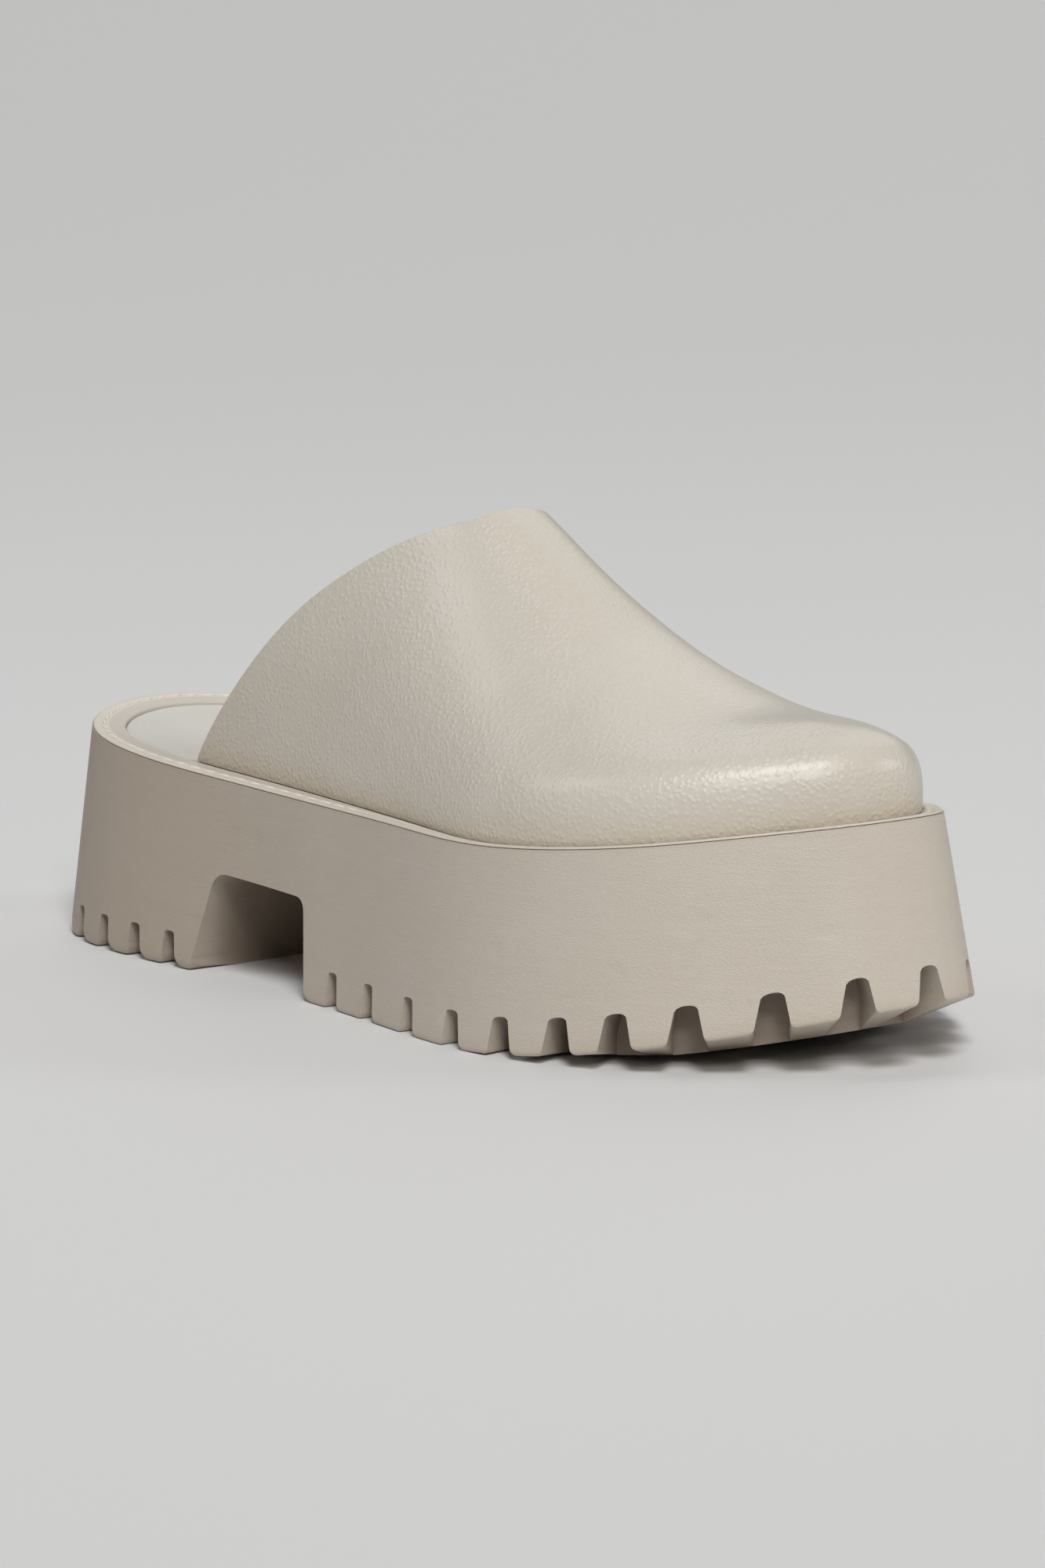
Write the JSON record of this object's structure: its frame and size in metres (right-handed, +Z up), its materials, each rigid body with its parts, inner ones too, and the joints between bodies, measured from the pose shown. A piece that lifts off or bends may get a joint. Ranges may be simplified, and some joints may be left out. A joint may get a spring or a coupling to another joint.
{
  "type": "platform mule",
  "caption": "Chunky cream platform mule with a closed toe, open heel, stitched welt and a lug-edged sole with a tunnel under the arch.",
  "frame": {"origin": "on the ground, at the middle of the sole's footprint", "axes": "+X runs from the heel to the toe, +Y points to the inner side of the foot, +Z is up"},
  "size_m": [0.2855, 0.1176, 0.1176],
  "materials": {
    "moulded_cream": "matte, faint horizontal grain",
    "welt_cream": "smooth matte",
    "insole_white": "smooth matte",
    "grained_cream": "fine pebble grain, satin gloss"
  },
  "bodies": {
    "root": {"platform_sole": "moulded_cream", "welt": "welt_cream", "insole": "insole_white", "upper": "grained_cream"}
  },
  "joints": []
}
